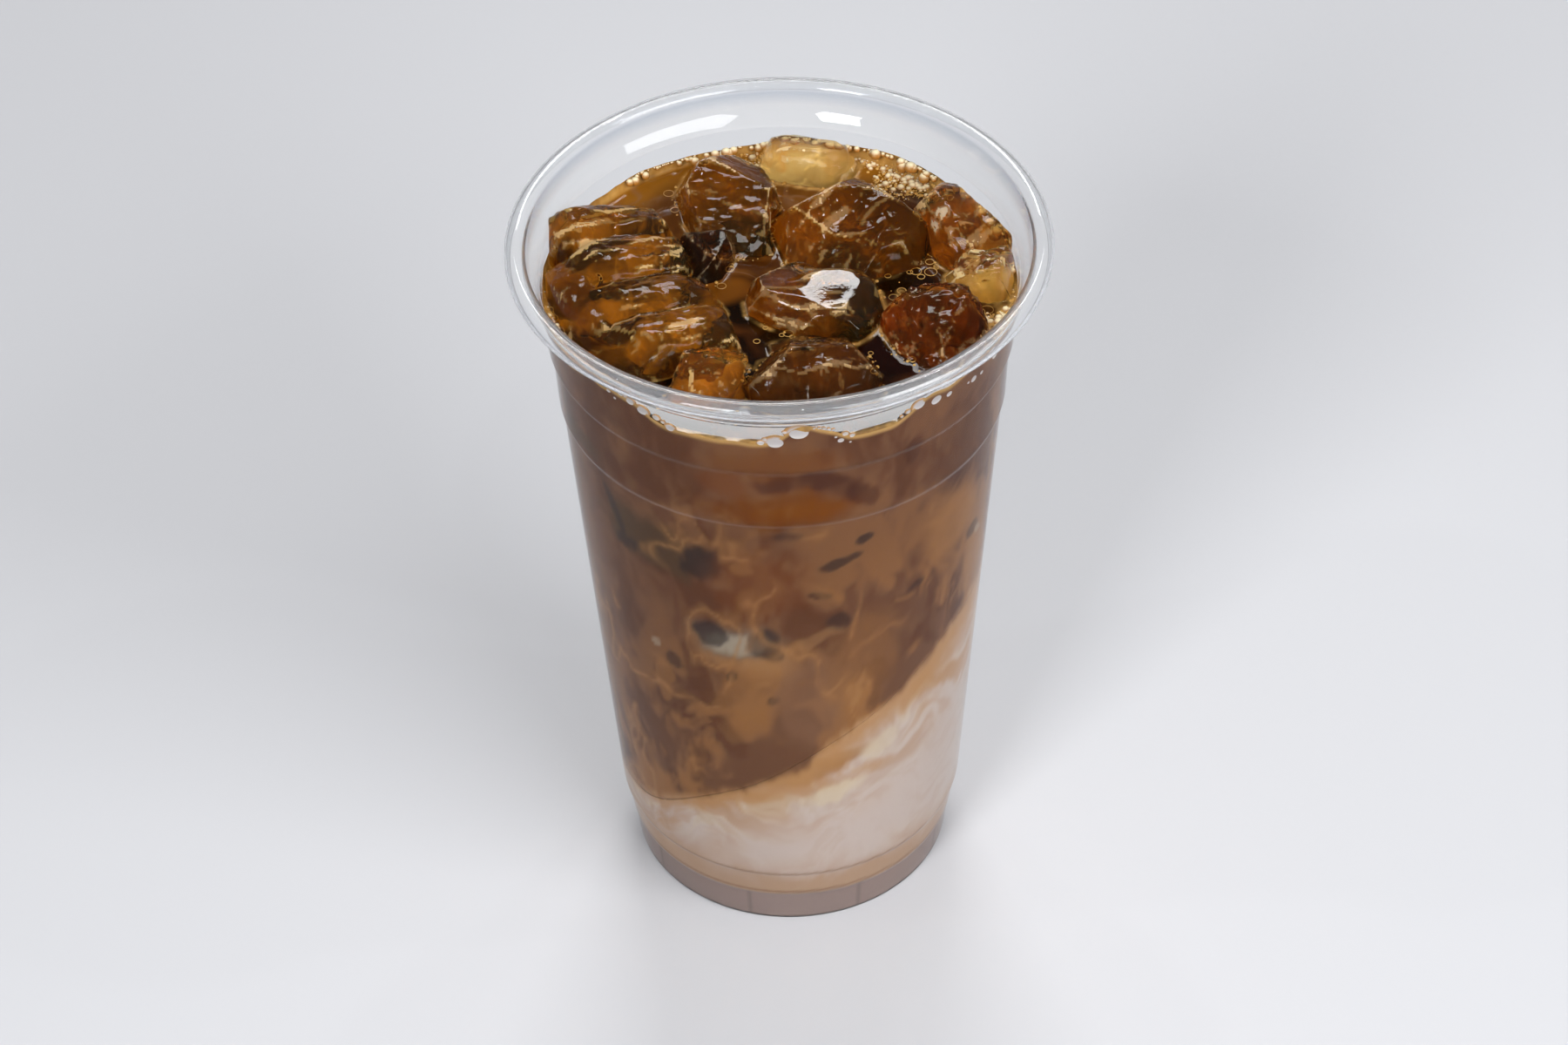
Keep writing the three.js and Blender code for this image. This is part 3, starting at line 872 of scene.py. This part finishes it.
def paintTop(flat, distance, owner, fromWall, points):
    tones = {name: seen(*colour) for name, colour in surface["colours"].items()}
    swirl = flat + 16 * (np.column_stack([cloudNoise(flat, 14, seed, 3) for seed in (72, 73, 74)]) - 0.5)
    tone = cloudNoise(swirl, 9, 75)
    # paler towards the back left: painted light that comes in through the wall
    litBackLeft = smoothStep(-4, 24, flat[:, 1] - 0.6 * flat[:, 0])
    paint = mix(tones["dark"], tones["open"], smoothStep(0.34, 0.56, tone + 0.18 * litBackLeft))
    paint = mix(paint, tones["pale"], smoothStep(0.44, 0.64, tone) * (0.15 + 0.75 * litBackLeft))
    for x, y, wide, tall, colour, strength in surface["pools"]:
        far = np.hypot((swirl[:, 0] - x) / wide, (swirl[:, 1] - y) / tall)
        paint = mix(paint, seen(*colour), strength * smoothStep(1.3, 0.5, far))
    # a painted golden glow near the wall at the back left
    golden = smoothStep(9, 3, fromWall) * smoothStep(0, 18, flat[:, 1] - 0.9 * flat[:, 0])
    paint = mix(paint, tones["golden"], 0.85 * golden)
    curl = smoothStep(0.03, 0.004, np.abs(cloudNoise(swirl, 8, 82, 2) - 0.5))
    paint = mix(paint, tones["curl"], 0.5 * curl * litBackLeft)
    paint = mix(paint, paintWells(flat, swirl, owner), smoothStep(0.2, -0.8, distance))
    behind = foamShare(flat)
    patchy = foamPatches(flat)
    foamWide = 0.9 + 2.4 * behind * patchy
    foam = smoothStep(foamWide + 0.6, foamWide - 0.3, fromWall) * behind
    foam = np.maximum(foam, patchy * smoothStep(1.1, 0.4, distance) * smoothStep(-0.5, 0.1, distance))
    foam = np.maximum(foam, 0.9 * smoothStep(1.0, 0.5, fromWall))
    speckle = 0.55 + 0.45 * smoothStep(0.35, 0.6, cloudNoise(points, 0.9, 81, 2))
    return mix(paint, tones["foam"], 0.85 * foam * speckle)


# lift the surface round the ice and sink it under the ice
def sinkWells(points, flat, distance, owner):
    wells = np.array([look["well"] for look in ice["pieces"].values()] + [0])
    front = behindFront(flat)
    points[:, 2] += surface["swell"] * 2 * (latticeNoise(flat, 10, 70) - 0.5) * smoothStep(0, 8, front)
    rise = surface["iceRise"] * np.exp(-np.maximum(distance, 0) / surface["iceReach"])
    points[:, 2] += smoothStep(0, 2.5, front) * rise
    depth = wells[owner] * (1 - np.exp(-np.maximum(-distance - 0.4, 0) / 1.6))
    uneven = 1 + 1.1 * (cloudNoise(flat, 4, 71, 3) - 0.5)
    points[:, 2] -= depth * uneven + surface["iceRise"] * smoothStep(0, -0.6, distance)


def coffeeLook(name, index):
    return makeMaterial(name, {"Roughness": 0.03, "IOR": index}, grain=5, height=0.004, detail=2.0)


def makeCoffeeTop(trees):
    around = drink["around"]
    azimuth = azimuths(around)
    shore = shoreHeight(azimuth)
    reach = drinkRadius(shore)
    rows = []
    fromWall = []
    for share in np.linspace(1, 0.002, surface["rings"]):
        away = (1 - share) * reach
        ring = aroundCup(share * reach, azimuth, 0 * azimuth)
        level = drink["level"] - surface["backTilt"] * behindFront(ring)
        ring[:, 2] = level + (shore - level) * np.exp(-away / surface["wallReach"])
        rows.append(ring)
        fromWall.append(away)
    points = np.vstack(rows)
    fromWall = np.concatenate(fromWall)
    flat = points * [1, 1, 0] + [0, 0, drink["level"]]
    distance, owner = nearIce(flat, trees)
    sinkWells(points, flat, distance, owner)
    paint = paintTop(flat, distance, owner, fromWall, points)
    faces = ringFaces(len(rows), around)
    stripLook = coffeeLook("coffeeStrip", surface["stripIndex"])
    piece = makePiece("coffeeTop", points, faces.tolist(), ["coffee"], stripLook, paint)
    piece.data.materials.append(coffeeLook("coffeeTop", surface["index"]))
    isInner = behindFront(points[faces[:, 0]]) > 0.5
    piece.data.polygons.foreach_set("material_index", isInner.astype(np.int32))
    print("coffee top made")
    return points, distance, fromWall


# froth: fine tan bubbles where the drink meets the wall and the ice, and larger ones among them with a
# painted highlight on top
froth = {
    "seed": 21,
    "fineColour": (210, 164, 88),
    # the pale top of each large bubble is a painted highlight
    "highlightCrown": (250, 234, 194),
    "under": (168, 112, 44),
    "sunk": 0.3,  # share of its radius that a bubble lies under the surface
    "jitter": 0.12,
    "fromWall": 0.05,
    "fine": {"atWall": 820, "atIce": 380, "least": 0.12, "spread": 0.3},
    "large": {"atWall": 320, "atIce": 4, "least": 0.18, "spread": 0.8},
    "clinging": {"count": 170, "from": 92, "to": 222, "least": 0.22, "spread": 0.95},
    "rings": {
        "atIce": 50, "least": 0.45, "spread": 0.8, "thick": 0.055, "steps": 22, "sides": 6, "lift": 0.15,
        "jitter": 0.4, "fromWall": 0.25,
        "clusters": [  # x, y, reach, count
            (25, 9, 4.5, 8), (4, -13, 4.5, 8), (-40, -2, 5, 9), (-13, 8, 4, 5), (33, -12, 4, 5)]},
}


def ballShape(divisions):
    ball = bmesh.new()
    bmesh.ops.create_icosphere(ball, subdivisions=divisions, radius=1)
    points = np.array([v.co for v in ball.verts])
    faces = np.array([[v.index for v in f.verts] for f in ball.faces])
    ball.free()
    return points, faces


# points and faces of many balls, and how far up on its ball each point is
def manyBalls(centres, radii):
    shape, faces = ballShape(2)
    points = (shape[None] * radii[:, None, None] + centres[:, None]).reshape(-1, 3)
    shift = np.arange(len(centres))[:, None, None] * len(shape)
    return points, (faces[None] + shift).reshape(-1, 3), np.tile(shape[:, 2], len(centres))


# thin golden rings: the outlines of clear bubbles
def manyRings(centres, radii, thick, steps, sides):
    along = np.linspace(0, 2 * np.pi, steps, endpoint=False)
    across = np.linspace(0, 2 * np.pi, sides, endpoint=False)
    spin, tube = (grid.ravel() for grid in np.meshgrid(along, across, indexing="ij"))
    reach = radii[:, None] + thick * np.cos(tube)
    rise = np.broadcast_to(thick * np.sin(tube), reach.shape)
    shape = np.stack([reach * np.cos(spin), reach * np.sin(spin), rise], -1)
    points = (shape + centres[:, None]).reshape(-1, 3)
    step, side = np.meshgrid(np.arange(steps), np.arange(sides), indexing="ij")
    nextStep = (step + 1) % steps * sides
    nextSide = (side + 1) % sides
    quads = [step * sides + side, nextStep + side, nextStep + nextSide, step * sides + nextSide]
    shift = np.arange(len(centres))[:, None, None] * steps * sides
    return points, (np.stack(quads, -1).reshape(1, -1, 4) + shift).reshape(-1, 4)


def frothLook():
    sockets = {"Base Color": (*seen(*froth["fineColour"]), 1), "Roughness": 0.18, "IOR": 1.3}
    return makeMaterial("fineFroth", sockets, grain=0.3, height=0.01, painted=False)


def clingingBubbles(draw):
    clinging = froth["clinging"]
    count = clinging["count"]
    azimuth = draw.uniform(clinging["from"], clinging["to"], count)
    size = clinging["least"] + clinging["spread"] * draw.random(count) ** 3
    height = shoreHeight(azimuth) - size * draw.uniform(0, 0.9, count)
    return aroundCup(insideRadius(height) - size - froth["fromWall"], azimuth, height), size


def fitsInside(centres, size, gap):
    return np.hypot(centres[:, 0], centres[:, 1]) + size < insideRadius(centres[:, 2]) - gap


def makeFroth(points, distance, fromWall):
    draw = np.random.default_rng(froth["seed"])
    behind = foamShare(points)
    patchy = foamPatches(points * [1, 1, 0])
    area = np.hypot(points[:, 0], points[:, 1])
    atWall = behind * np.exp(-fromWall / (0.5 + 2.2 * behind * patchy))
    atWall = atWall * (distance > 0.2) * (fromWall > 0.15)
    atIce = (0.03 + patchy) * np.exp(-(((distance - 0.35) / 0.5) ** 2)) * (behindFront(points) > 0.5)
    weights = {"atWall": atWall * area, "atIce": atIce * area}
    largeLook = makeMaterial("largeBubble", {"Roughness": 0.06, "IOR": 1.3}, grain=1.5, height=0.02)
    for kind, material in (("fine", frothLook()), ("large", largeLook)):
        centres = []
        radii = []
        for place, weight in weights.items():
            count = froth[kind][place]
            picks = draw.choice(len(points), count, replace=False, p=weight / weight.sum())
            size = froth[kind]["least"] + froth[kind]["spread"] * draw.random(count) ** 3
            aside = draw.normal(0, froth["jitter"], (count, 2))
            centre = points[picks] + np.column_stack([aside, -froth["sunk"] * size])
            keep = fitsInside(centre, size, froth["fromWall"])
            centres.append(centre[keep])
            radii.append(size[keep])
        if kind == "large":
            centre, size = clingingBubbles(draw)
            centres.append(centre)
            radii.append(size)
        ballPoints, faces, up = manyBalls(np.vstack(centres), np.concatenate(radii))
        # a painted highlight on the top of each bubble, over its golden underside
        paint = mix(seen(*froth["under"]), seen(*froth["highlightCrown"]), smoothStep(0.35, 0.9, up))
        makePiece(kind + "Froth", ballPoints, faces.tolist(), ["coffee"], material, paint)
        print(kind, "froth made,", len(faces), "faces")
    rings = froth["rings"]
    weight = weights["atIce"]
    picks = draw.choice(len(points), rings["atIce"], replace=False, p=weight / weight.sum())
    for x, y, reach, count in rings["clusters"]:
        near = np.exp(-np.hypot(points[:, 0] - x, points[:, 1] - y) ** 2 / reach**2) * area
        near = near * (distance > 0.1) * (fromWall > 0.8) + 1e-12
        picks = np.r_[picks, draw.choice(len(points), count, replace=False, p=near / near.sum())]
    size = rings["least"] + rings["spread"] * draw.random(len(picks)) ** 2
    aside = draw.normal(0, rings["jitter"], (len(picks), 2))
    centres = points[picks] + np.column_stack([aside, np.full(len(picks), rings["lift"])])
    keep = fitsInside(centres, size, rings["fromWall"])
    ringPoints, faces = manyRings(centres[keep], size[keep], rings["thick"], rings["steps"], rings["sides"])
    makePiece("ringFroth", ringPoints, faces.tolist(), ["coffee"], frothLook())
    print("ring froth made")


# bubbles that cling to the front wall at the shore
wallBubble = {
    "top": (178, 172, 172),
    "bottom": (206, 202, 200),
    "edge": (178, 128, 64),
    "inset": 0.15,
    "wide": 1.25,  # width for a height of 1
    "deep": 0.32,
    "lean": 0.08,
    "places": [  # azimuth, height, radius
        (3.5, 137.6, 2.2), (-1.9, 135.4, 1.8), (-5.3, 135.3, 0.7), (-4.4, 136.2, 0.4), (0.2, 137.9, 0.4),
        (13.3, 134.7, 0.75), (12.1, 135.7, 0.35), (14.3, 136, 0.6), (16, 135.3, 0.55), (15.6, 133.9, 0.3),
        (-34.5, 137.1, 1.3), (-37.8, 138.1, 1.05), (-30.7, 136.7, 0.7), (-29, 136.2, 0.4),
        (-27.2, 135.3, 1.0), (-44.5, 138, 0.7), (-40.5, 138.9, 0.6), (-42.6, 137, 0.4), (33.3, 137.4, 1.4),
        (38.3, 136.6, 1.45), (42.4, 136.2, 0.85), (30.2, 136.9, 0.5), (28.6, 136.3, 0.3),
        (51.3, 135.4, 1.0), (54.6, 135.2, 0.6), (49.2, 135.6, 0.4), (60.8, 136, 1.3), (7.0, 138.5, 0.3),
        (8.1, 138.4, 0.28), (9.2, 138.2, 0.3), (10.4, 137.9, 0.26), (11.5, 137.5, 0.3), (-71, 137, 0.9),
        (-76, 137.6, 0.6), (70, 136.8, 0.8), (75, 136.4, 0.6),
    ],
}


def makeWallBubbles():
    shape, faces = ballShape(3)
    off = np.hypot(shape[:, 0], shape[:, 2])
    fill = mix(seen(*wallBubble["top"]), seen(*wallBubble["bottom"]), smoothStep(0.2, -0.6, shape[:, 2]))
    paint = mix(fill, seen(*wallBubble["edge"]), smoothStep(0.68, 0.86, off))
    allPoints, allFaces = [], []
    for azimuth, height, size in wallBubble["places"]:
        middle = insideRadius(height) - wallBubble["inset"]
        angle = azimuth + np.degrees(shape[:, 0] * wallBubble["wide"] * size / middle)
        radius = middle + wallBubble["deep"] * shape[:, 1] + wallBubble["lean"] * shape[:, 2] * size
        allFaces.append(faces + len(shape) * len(allPoints))
        allPoints.append(aroundCup(radius, angle, height + shape[:, 2] * size))
    look = makeMaterial("wallBubble", {"Roughness": 0.3}, grain=0.6, height=0.02)
    makePiece("wallBubbles", np.vstack(allPoints), np.vstack(allFaces).tolist(), ["coffee"], look,
              np.tile(paint, (len(allPoints), 1)))
    print("wall bubbles made")


# floor, lights and camera, in metres; a lamp's azimuth is measured from behind the cup, towards the right
studio = {
    "floor": (207, 208, 212),
    "floorReach": 4,
    "aim": (0, 0, 0.13),
    "sky": {"strength": 0.47, "stops": [  # sine of the elevation, brightness
        (0.0, 0.75), (0.16, 0.6), (0.3, 0.12), (0.75, 0.4)]},
    "boxes": {
        "backBox": {
            "azimuth": 0, "elevation": 44.4, "distance": 1.1, "wide": 0.4, "tall": 0.21, "watts": 4.0},
        "rightBox": {
            "azimuth": 133, "elevation": 30, "distance": 1.2, "wide": 1.0, "tall": 0.6, "watts": 14.5},
        "leftBox": {
            "azimuth": -150, "elevation": 32, "distance": 1.2, "wide": 0.36, "tall": 0.4, "watts": 9},
    },
    "glint": {"distance": 1.2, "wide": 0.04, "tall": 0.04, "watts": 0.4},
    "glintPlaces": [(-20, 62), (25, 58), (170, 55), (95, 50), (-100, 48)],  # azimuth, elevation
}
photoView = {"lens": 80, "sensor": 36, "place": (-0.26, -493.29, 526.31), "pitch": 0.73744, "roll": 0.02335}


def makeFloor():
    mesh = bpy.data.meshes.new("floor")
    reach = studio["floorReach"]
    corners = [(-reach, -reach, 0), (reach, -reach, 0), (reach, reach, 0), (-reach, reach, 0)]
    mesh.from_pydata(corners, [], [(0, 1, 2, 3)])
    floor = addToScene("floor", mesh)
    sockets = {"Base Color": (*seen(*studio["floor"]), 1), "Roughness": 0.55}
    look = makeMaterial("paleFloor", sockets, grain=6, height=0.02, detail=4.0, painted=False)
    mesh.materials.append(look)


def makeSoftbox(name, azimuth, elevation, distance, wide, tall, watts):
    light = bpy.data.lights.new(name, "AREA")
    light.shape = "RECTANGLE"
    light.size = wide
    light.size_y = tall
    light.energy = watts
    box = addToScene(name, light)
    turn, rise = math.radians(azimuth), math.radians(elevation)
    away = np.array([math.sin(turn) * math.cos(rise), math.cos(turn) * math.cos(rise), math.sin(rise)])
    right = np.array([math.cos(turn), -math.sin(turn), 0])
    facing = Matrix(np.column_stack([right, np.cross(away, right), away]).tolist()).to_4x4()
    box.matrix_world = Matrix.Translation(np.array(studio["aim"]) + distance * away) @ facing


def makeSky():
    world = bpy.data.worlds.new("studioSky")
    bpy.context.scene.world = world
    world.use_nodes = True
    tree = world.node_tree
    place = tree.nodes.new("ShaderNodeTexCoord")
    split = tree.nodes.new("ShaderNodeSeparateXYZ")
    ramp = tree.nodes.new("ShaderNodeValToRGB")
    while len(ramp.color_ramp.elements) < len(studio["sky"]["stops"]):
        ramp.color_ramp.elements.new(0.5)
    for element, (position, light) in zip(ramp.color_ramp.elements, studio["sky"]["stops"]):
        element.position = position
        element.color = (light, light * 1.01, light * 1.04, 1)
    tree.links.new(place.outputs["Generated"], split.inputs["Vector"])
    tree.links.new(split.outputs["Z"], ramp.inputs["Fac"])
    tree.links.new(ramp.outputs["Color"], tree.nodes["Background"].inputs["Color"])
    tree.nodes["Background"].inputs["Strength"].default_value = studio["sky"]["strength"]


def makeCamera():
    lens = bpy.data.cameras.new("photoView")
    lens.lens = photoView["lens"]
    lens.sensor_width = photoView["sensor"]
    camera = addToScene("photoView", lens)
    pitch, roll = photoView["pitch"], photoView["roll"]
    ahead = np.array([0, math.cos(pitch), -math.sin(pitch)])
    right = np.array([1.0, 0, 0])
    up = np.cross(right, ahead)
    camRight = math.cos(roll) * right - math.sin(roll) * up
    camUp = math.sin(roll) * right + math.cos(roll) * up
    turn = Matrix(np.column_stack([camRight, camUp, -ahead]).tolist()).to_4x4()
    camera.matrix_world = Matrix.Translation(np.array(photoView["place"]) * mm) @ turn
    bpy.context.scene.camera = camera


makeCup()
sideLook = makeMaterial("drinkSide", {"Roughness": 0.6, "Specular IOR Level": 0.0}, grain=1.5, height=0.05)
makeMilk(sideLook)
makeCoffeeSide(sideLook)
iceTrees = makeIce()
topPoints, iceDistance, wallDistance = makeCoffeeTop(iceTrees)
makeFroth(topPoints, iceDistance, wallDistance)
makeWallBubbles()
makeFloor()
for boxName, box in studio["boxes"].items():
    makeSoftbox(boxName, **box)
for number, (turned, raised) in enumerate(studio["glintPlaces"]):
    makeSoftbox("glint" + str(number), turned, raised, **studio["glint"])
makeSky()
makeCamera()
bpy.context.scene.view_settings.view_transform = "Standard"
print("stage made")
